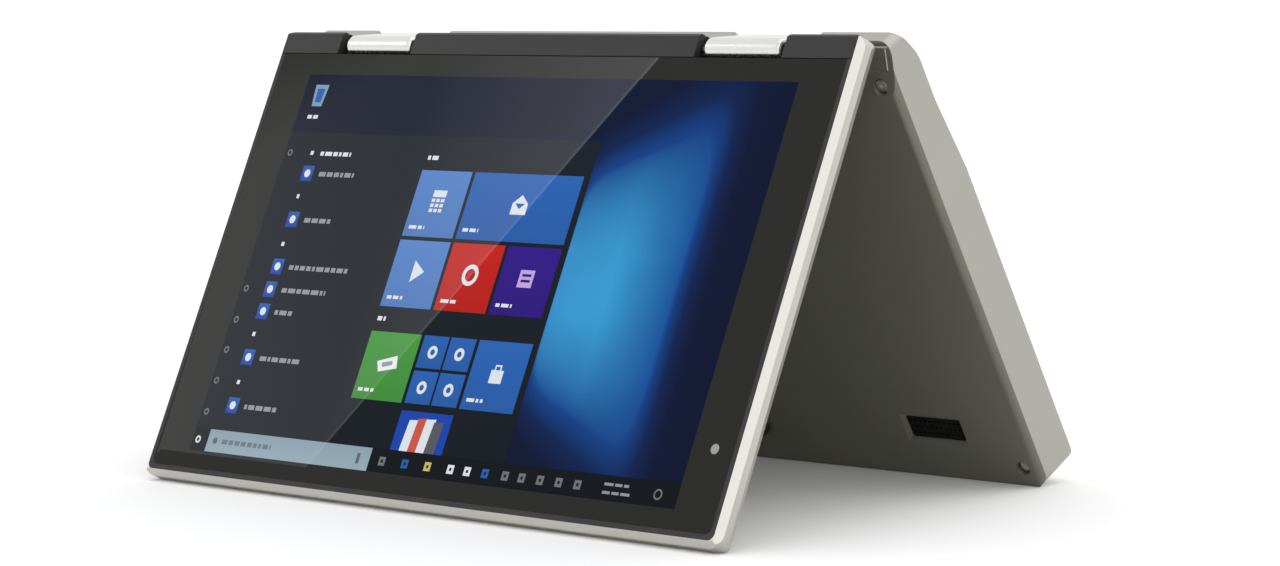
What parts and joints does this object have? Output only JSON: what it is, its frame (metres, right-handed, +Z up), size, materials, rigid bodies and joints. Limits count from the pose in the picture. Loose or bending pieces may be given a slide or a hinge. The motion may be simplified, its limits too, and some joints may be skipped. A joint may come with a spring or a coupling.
{
  "type": "folding laptop computer",
  "caption": "Small folding laptop computer with a geared two-axis hinge, standing as a tent: screen half in front, keyboard half behind.",
  "frame": {"origin": "on the surface that the tent stands on, under the middle of its outline", "axes": "+X along the hinge towards the user's left, +Y from the screen half to the keyboard half, +Z up"},
  "size_m": [0.181, 0.1152, 0.1011],
  "materials": {
    "body_silver": "fine bead-blasted, warm champagne silver",
    "cover_silver": "fine bead-blasted, warm champagne silver",
    "hinge_metal": "satin plated",
    "steel": "turned",
    "gear_brass": "cut and polished",
    "black_glass": "polished",
    "picture": "lit display panel",
    "black_plastic": "fine matt",
    "key_plastic": "matt with pale legends",
    "rubber": "matt",
    "board_green": "solder-masked",
    "tin": "pressed tin plate",
    "copper": "bare copper",
    "foil": "wrapped cell foil",
    "light": "clear light pipe",
    "silicone": "translucent silicone"
  },
  "bodies": {
    "base": {"top_case": "body_silver", "bottom_cover": "cover_silver", "keyboard_plate": "tin", "dome_sheet": "silicone", "mainboard": "board_green", "shield_can": "tin", "heat_spreader": "copper", "ssd_module": "board_green", "battery_pack": "foil", "speaker_left": "black_plastic", "speaker_right": "black_plastic", "speaker_grilles": "black_plastic", "rubber_feet": "rubber", "case_screws": "steel", "usb_a_port": "tin", "usb_c_port": "tin", "micro_hdmi_port": "tin", "audio_jack": "black_plastic", "microsd_slot": "tin", "pointing_sensor": "black_glass", "status_lights": "light", "deck_bumpers": "rubber", "base_bracket_left": "steel", "base_bracket_right": "steel", "base_shaft_left": "steel", "base_shaft_right": "steel"},
    "hinge_links": {"hinge_housing_left": "hinge_metal", "hinge_housing_right": "hinge_metal", "bearing_plates": "steel", "torque_clips": "steel"},
    "base_side_idlers": {"base_side_idlers": "gear_brass"},
    "lid_side_idlers": {"lid_side_idlers": "gear_brass"},
    "lid": {"lid_cover": "body_silver", "screen_glass": "black_glass", "glass_gasket": "rubber", "hinge_trim": "black_plastic", "display_panel": "picture", "camera_module": "black_plastic", "camera_window": "light", "lid_antennas": "board_green", "lid_magnets": "tin", "lid_bracket_left": "steel", "lid_bracket_right": "steel", "lid_shaft_left": "steel", "lid_shaft_right": "steel"},
    "escape_key": {"escape_key": "key_plastic"},
    "number_keys": {"number_keys": "key_plastic"},
    "backspace_key": {"backspace_key": "key_plastic"},
    "upper_letter_keys": {"upper_letter_keys": "key_plastic"},
    "home_letter_keys": {"home_letter_keys": "key_plastic"},
    "enter_key": {"enter_key": "key_plastic"},
    "lower_letter_keys": {"lower_letter_keys": "key_plastic"},
    "shift_keys": {"shift_keys": "key_plastic"},
    "modifier_keys": {"modifier_keys": "key_plastic"},
    "space_key": {"space_key": "key_plastic"},
    "arrow_keys": {"arrow_keys": "key_plastic"},
    "left_button": {"left_button": "key_plastic"},
    "right_button": {"right_button": "key_plastic"},
    "power_button": {"power_button": "body_silver"}
  },
  "joints": [
    {"name": "base_pivot", "type": "hinge", "parent": "base", "child": "hinge_links", "pos_m": [0, 0.00147, 0.09788], "axis": [1, 0, 0], "range_deg": [-153, 27]},
    {"name": "lid_pivot", "type": "hinge", "parent": "hinge_links", "child": "lid", "pos_m": [0, -0.00822, 0.09772], "axis": [1, 0, 0], "range_deg": [-153, 27]},
    {"name": "base_idler_spin", "type": "hinge", "parent": "hinge_links", "child": "base_side_idlers", "pos_m": [0, -0.00176, 0.09783], "axis": [1, 0, 0], "range_deg": [-153, 27]},
    {"name": "lid_idler_spin", "type": "hinge", "parent": "hinge_links", "child": "lid_side_idlers", "pos_m": [0, -0.00499, 0.09777], "axis": [1, 0, 0], "range_deg": [-27, 153]},
    {"name": "escape_key_press", "type": "slide", "parent": "base", "child": "escape_key", "axis": [0, -0.8834, -0.4686], "range_m": [0, 0.0012], "stiffness_N_per_m": 300, "springref_m": -0.0005},
    {"name": "number_keys_press", "type": "slide", "parent": "base", "child": "number_keys", "axis": [0, -0.8834, -0.4686], "range_m": [0, 0.0012], "stiffness_N_per_m": 300, "springref_m": -0.0005},
    {"name": "backspace_key_press", "type": "slide", "parent": "base", "child": "backspace_key", "axis": [0, -0.8834, -0.4686], "range_m": [0, 0.0012], "stiffness_N_per_m": 300, "springref_m": -0.0005},
    {"name": "upper_letter_keys_press", "type": "slide", "parent": "base", "child": "upper_letter_keys", "axis": [0, -0.8834, -0.4686], "range_m": [0, 0.0012], "stiffness_N_per_m": 300, "springref_m": -0.0005},
    {"name": "home_letter_keys_press", "type": "slide", "parent": "base", "child": "home_letter_keys", "axis": [0, -0.8834, -0.4686], "range_m": [0, 0.0012], "stiffness_N_per_m": 300, "springref_m": -0.0005},
    {"name": "enter_key_press", "type": "slide", "parent": "base", "child": "enter_key", "axis": [0, -0.8834, -0.4686], "range_m": [0, 0.0012], "stiffness_N_per_m": 300, "springref_m": -0.0005},
    {"name": "lower_letter_keys_press", "type": "slide", "parent": "base", "child": "lower_letter_keys", "axis": [0, -0.8834, -0.4686], "range_m": [0, 0.0012], "stiffness_N_per_m": 300, "springref_m": -0.0005},
    {"name": "shift_keys_press", "type": "slide", "parent": "base", "child": "shift_keys", "axis": [0, -0.8834, -0.4686], "range_m": [0, 0.0012], "stiffness_N_per_m": 300, "springref_m": -0.0005},
    {"name": "modifier_keys_press", "type": "slide", "parent": "base", "child": "modifier_keys", "axis": [0, -0.8834, -0.4686], "range_m": [0, 0.0012], "stiffness_N_per_m": 300, "springref_m": -0.0005},
    {"name": "space_key_press", "type": "slide", "parent": "base", "child": "space_key", "axis": [0, -0.8834, -0.4686], "range_m": [0, 0.0012], "stiffness_N_per_m": 300, "springref_m": -0.0005},
    {"name": "arrow_keys_press", "type": "slide", "parent": "base", "child": "arrow_keys", "axis": [0, -0.8834, -0.4686], "range_m": [0, 0.0012], "stiffness_N_per_m": 300, "springref_m": -0.0005},
    {"name": "left_button_press", "type": "slide", "parent": "base", "child": "left_button", "axis": [0, -0.8834, -0.4686], "range_m": [0, 0.0006], "stiffness_N_per_m": 300, "springref_m": -0.0005},
    {"name": "right_button_press", "type": "slide", "parent": "base", "child": "right_button", "axis": [0, -0.8834, -0.4686], "range_m": [0, 0.0006], "stiffness_N_per_m": 300, "springref_m": -0.0005},
    {"name": "power_button_press", "type": "slide", "parent": "base", "child": "power_button", "axis": [0, -0.8834, -0.4686], "range_m": [0, 0.0005], "stiffness_N_per_m": 300, "springref_m": -0.0005}
  ],
  "couplings": [
    {"joint": "lid_pivot", "follows": "base_pivot", "ratio": 1},
    {"joint": "base_idler_spin", "follows": "base_pivot", "ratio": 1},
    {"joint": "lid_idler_spin", "follows": "base_pivot", "ratio": -1}
  ]
}
